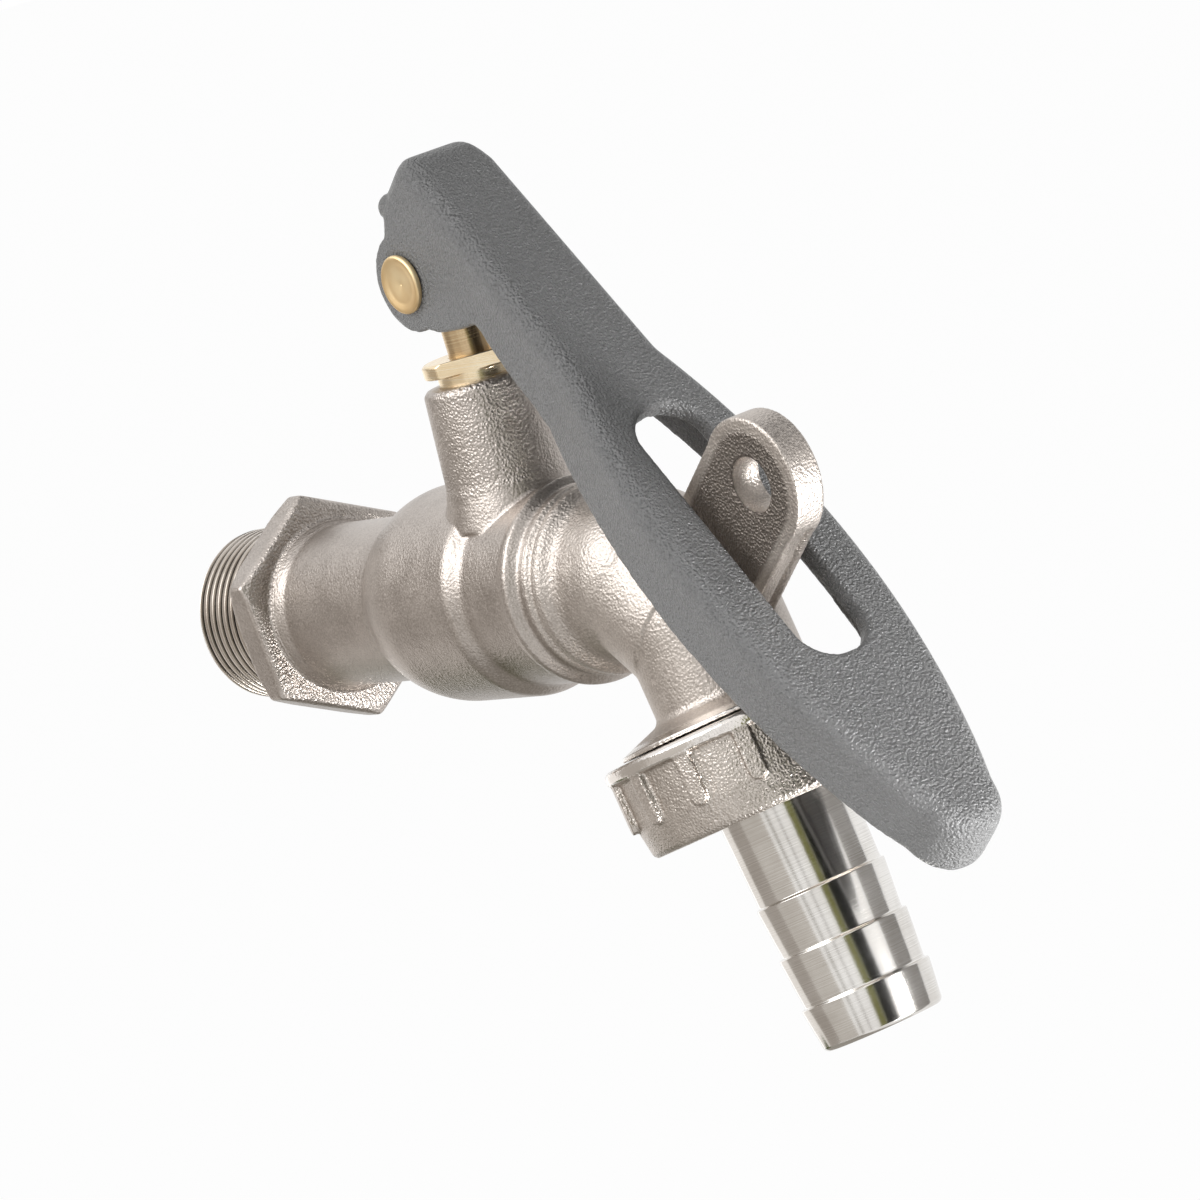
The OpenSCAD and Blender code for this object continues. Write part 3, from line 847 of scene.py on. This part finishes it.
def tailOutline():
    r, bore, first, pitch = tail["r"], tail["bore"], tail["first"], tail["pitch"]
    end = first + tail["barbs"] * pitch - tail["lastShort"]
    points = [(bore, tail["flangeStart"]), (tail["flangeR"], tail["flangeStart"])]
    points += [(tail["flangeR"], tail["flangeEnd"])]
    waistAt = (tail["flangeEnd"], tail["waistMiddle"], first)
    points += [(r - below, along) for below, along in zip(tail["waist"], waistAt)]
    for k in range(tail["barbs"]):
        points.append((r, first + k * pitch + tail["barbFlat"]))
        if k < tail["barbs"] - 1:
            points.append((r - tail["barbStep"], first + (k + 1) * pitch))
    points += [(r - below, end - short) for below, short in tail["tip"]]
    points += [(bore + tail["mouthWide"], end), (bore, end - tail["mouthDeep"])]
    return rounded(points, tail["edge"], 3)


mesh = bmesh.new()
latheInto(mesh, tailOutline(), downSpout, tail["segments"])
tailPiece = asObject("turned_hose_tail", mesh)
crispShading(tailPiece, 40)
place(tailPiece, "tail", "hose_tail", tailNickel, "hose_tail")


# rivet with its dished head

rivet = {
    "shankR": 2.0,
    "headR": 4.4,
    "headIn": 7.8,
    "headOut": 8.7,
    "farEnd": [(0.01, 1.2), (2.4, 1.1), (3.3, 0.6), (3.4, 0)],  # radius, and how far out
    "dish": [(4.4, 0.25), (4.15, 0), (3.7, 0.02), (2.8, 0.27), (0.01, 0.45)],  # radius, and how deep
    "edge": 0.2,
    "segments": 72,
}
rivetOutline = [(r, -rivet["headIn"] - outward) for r, outward in rivet["farEnd"]]
rivetOutline += [(rivet["shankR"], -rivet["headIn"]), (rivet["shankR"], rivet["headIn"])]
rivetOutline += [(rivet["headR"], rivet["headIn"])]
rivetOutline += [(r, rivet["headOut"] - deep) for r, deep in rivet["dish"]]
mesh = bmesh.new()
latheInto(mesh, rounded(rivetOutline, rivet["edge"], 3), acrossRivet, rivet["segments"])
rivetPiece = asObject("dished_rivet", mesh)
crispShading(rivetPiece, 40)
place(rivetPiece, "stem_and_ball", "rivet", rivetBrass, "pivot_rivet")

# pieces that keep the shape they came with
finishes = {
    "stem": stemBrass,
    "ball": ballChrome,
    "inlet_seat": waxyWhite,
    "outlet_seat": waxyWhite,
    "thrust_washer": waxyWhite,
    "gland_packing": waxyWhite,
    "lower_stem_oring": blackRubber,
    "upper_stem_oring": blackRubber,
    "hose_washer": blackRubber,
}
for node, material in finishes.items():
    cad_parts[node].data.materials.clear()
    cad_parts[node].data.materials.append(material)
print("turned parts and inner parts ready")


# camera, floor and light

bpy.context.scene.view_settings.view_transform = "Standard"
camera = bpy.data.cameras.new("camera")
camera.sensor_width = 36
camera.lens = 180
cameraObject = bpy.data.objects.new("camera", camera)
bpy.context.scene.collection.objects.link(cameraObject)
# fitted to points read from the photograph
cameraObject.matrix_world = Matrix((
    (0.57094, 0.05838, 0.81891, 0.78226),
    (0.76739, 0.31657, -0.55758, -0.48324),
    (-0.29180, 0.94677, 0.13595, 0.11445),
    (0, 0, 0, 1),
))
bpy.context.scene.camera = cameraObject

studio = {
    "floorDrop": 0.30,
    "floorSize": 60,
    "floorGlow": 0.97,
    "ambient": 0.30,
}


def flatPanel(name, centre, width, height, facing):
    mesh = bmesh.new()
    bmesh.ops.create_grid(mesh, x_segments=1, y_segments=1, size=0.5)
    panel = asObject(name, mesh)
    turn = Vector(facing).to_track_quat("Z", "Y").to_matrix().to_4x4()
    panel.matrix_world = Matrix.Translation(centre) @ turn @ Matrix.Diagonal((width, height, 1, 1))
    return panel


def seenDirectly(wire):
    # one for what the camera, a mirror or glass looks at
    rays = [wire.node("ShaderNodeLightPath", {}, {}, kind) for kind in
            ("Is Camera Ray", "Is Glossy Ray", "Is Transmission Ray")]
    return wire.maths("MINIMUM", rays[0] + rays[1] + rays[2], 1.0)


floorMaterial, wire, shader = newMaterial("pale floor")
seen = seenDirectly(wire)
glow = wire.node("ShaderNodeEmission", {}, {"Color": (1, 1, 1, 1), "Strength": 1.0})
feed(wire, shader, {"Base Color": (0.92, 0.92, 0.92, 1), "Roughness": 0.9})
diffuse = Wire(wire.tree, shader.outputs[0])
mixed = wire.node("ShaderNodeMixShader", {}, {0: seen * studio["floorGlow"], 1: diffuse, 2: glow})
wire.tree.links.new(mixed.socket, floorMaterial.node_tree.nodes["Material Output"].inputs[0])
lowest = min(corner[2] for corner in cadBox)
floorSpot = (0.05, 0, lowest - studio["floorDrop"])
floor = flatPanel("floor", floorSpot, studio["floorSize"], studio["floorSize"], (0, 0, 1))
floor.data.materials.append(floorMaterial)

world = bpy.data.worlds.new("studio")
bpy.context.scene.world = world
world.use_nodes = True
wire = Wire(world.node_tree)
seen = seenDirectly(wire)
background = world.node_tree.nodes["Background"]
brightness = studio["ambient"] + seen * (1 - studio["ambient"])
feed(wire, background, {"Color": (1, 1, 1, 1), "Strength": brightness})

lamps = {
    "key lamp": {"spot": (-0.15, -1.05, 0.75), "target": (0.06, 0, 0), "size": 1.3, "power": 12.5},
    "fill lamp": {"spot": (0.9, 0.7, 0.9), "target": (0.06, 0, 0), "size": 0.9, "power": 0.1},
    "low lamp": {
        "spot": (0.21, -0.34, -0.16), "target": (0.13, 0, -0.05), "size": 0.25, "power": 0.7,
        "mirrored": False,
    },
    # an upright strip in front of the lever's tip
    "strip lamp": {
        "spot": (0.285, 0.05, -0.13), "target": (0.13, 0, -0.06), "size": 0.06, "height": 0.18, "power": 0.98,
    },
    # from behind on the left, for the nut's and the hexagon's left sides
    "left lamp": {"spot": (-0.45, -0.06, -0.10), "target": (0.08, 0, -0.03), "size": 0.5, "power": 0.34},
}


def softLamp(name, look):
    lamp = bpy.data.lights.new(name, "AREA")
    lamp.shape = "RECTANGLE" if "height" in look else "DISK"
    lamp.size = look["size"]
    lamp.size_y = look.get("height", look["size"])
    lamp.energy = look["power"]
    lampObject = bpy.data.objects.new(name, lamp)
    lampObject.visible_camera = False
    lampObject.visible_glossy = look.get("mirrored", True)
    bpy.context.scene.collection.objects.link(lampObject)
    aim = (Vector(look["target"]) - Vector(look["spot"])).to_track_quat("-Z", "Y").to_matrix().to_4x4()
    lampObject.matrix_world = Matrix.Translation(look["spot"]) @ aim


for name, look in lamps.items():
    softLamp(name, look)

# cards that show only in reflections, as in a product photographer's tent
# each stands at an angle seen from the hose tail, and is so many degrees wide
cards = {
    "left_card": {"angle": -156, "away": 0.58, "wide": 66, "low": -0.37, "high": 0.30,
                  "tone": (0.42, 0.387, 0.355)},
    "beige_card": {"angle": -102, "away": 0.56, "wide": 42, "low": -0.37, "high": 0.22,
                   "tone": (0.60, 0.57, 0.535)},
    "left_streak": {"angle": -72, "away": 0.50, "wide": 5, "low": -0.35, "high": 0.35,
                    "tone": (0.55, 0.54, 0.52)},
    "middle_streak": {"angle": -56, "away": 0.50, "wide": 4, "low": -0.35, "high": 0.35,
                      "tone": (0.62, 0.61, 0.60)},
    "green_card": {"angle": -32, "away": 0.46, "wide": 12, "low": -0.37, "high": 0.35,
                   "tone": (0.20, 0.20, 0.07)},
    "black_card": {"angle": -14, "away": 0.47, "wide": 23, "low": -0.37, "high": 0.35,
                   "tone": (0.01, 0.01, 0.01)},
    "right_card": {"angle": 50, "away": 0.235, "wide": 38, "low": -0.32, "high": 0.20,
                   "tone": (0.32, 0.31, 0.30)},
    "edge_card": {"angle": 68, "away": 0.50, "wide": 5, "low": -0.37, "high": 0.35,
                  "tone": (0.03, 0.03, 0.03)},
}
cardFoot = Vector((0.12, 0, 0))
# one wide below the tap, a small one that tints the thread, and one over the lever
looseCards = {
    "low_card": {"spot": (-0.12, -0.14, -0.36), "size": (0.62, 0.62), "facing": (0, 0, 1),
                 "tone": (0.36, 0.34, 0.31)},
    "thread_card": {"spot": (-0.22, -0.03, -0.22), "size": (0.16, 0.16), "facing": (0, 0, 1),
                    "tone": (0.10, 0.11, 0.05)},
    "upper_card": {"spot": (0.19, 0.22, 0.38), "size": (0.30, 0.30), "facing": (-0.27, -0.55, -0.80),
                   "tone": (0.02, 0.02, 0.02)},
}


def reflectionCard(name, spot, width, height, facing, tone):
    panel = flatPanel(name, spot, width, height, facing)
    material, wire, shader = newMaterial(name)
    feed(wire, shader, {"Base Color": (0, 0, 0, 1), "Roughness": 1.0, "Specular IOR Level": 0.0})
    feed(wire, shader, {"Emission Color": (*tone, 1), "Emission Strength": 1.0})
    panel.data.materials.append(material)
    panel.visible_camera = False
    panel.visible_diffuse = False
    panel.visible_shadow = False


for name, card in cards.items():
    angle = math.radians(card["angle"])
    outward = Vector((math.cos(angle), math.sin(angle), 0))
    spot = cardFoot + outward * card["away"]
    spot.z = (card["low"] + card["high"]) / 2
    width = 2 * card["away"] * math.tan(math.radians(card["wide"] / 2))
    reflectionCard(name, spot, width, card["high"] - card["low"], -outward, card["tone"])
for name, card in looseCards.items():
    reflectionCard(name, card["spot"], *card["size"], card["facing"], card["tone"])
print("studio ready")
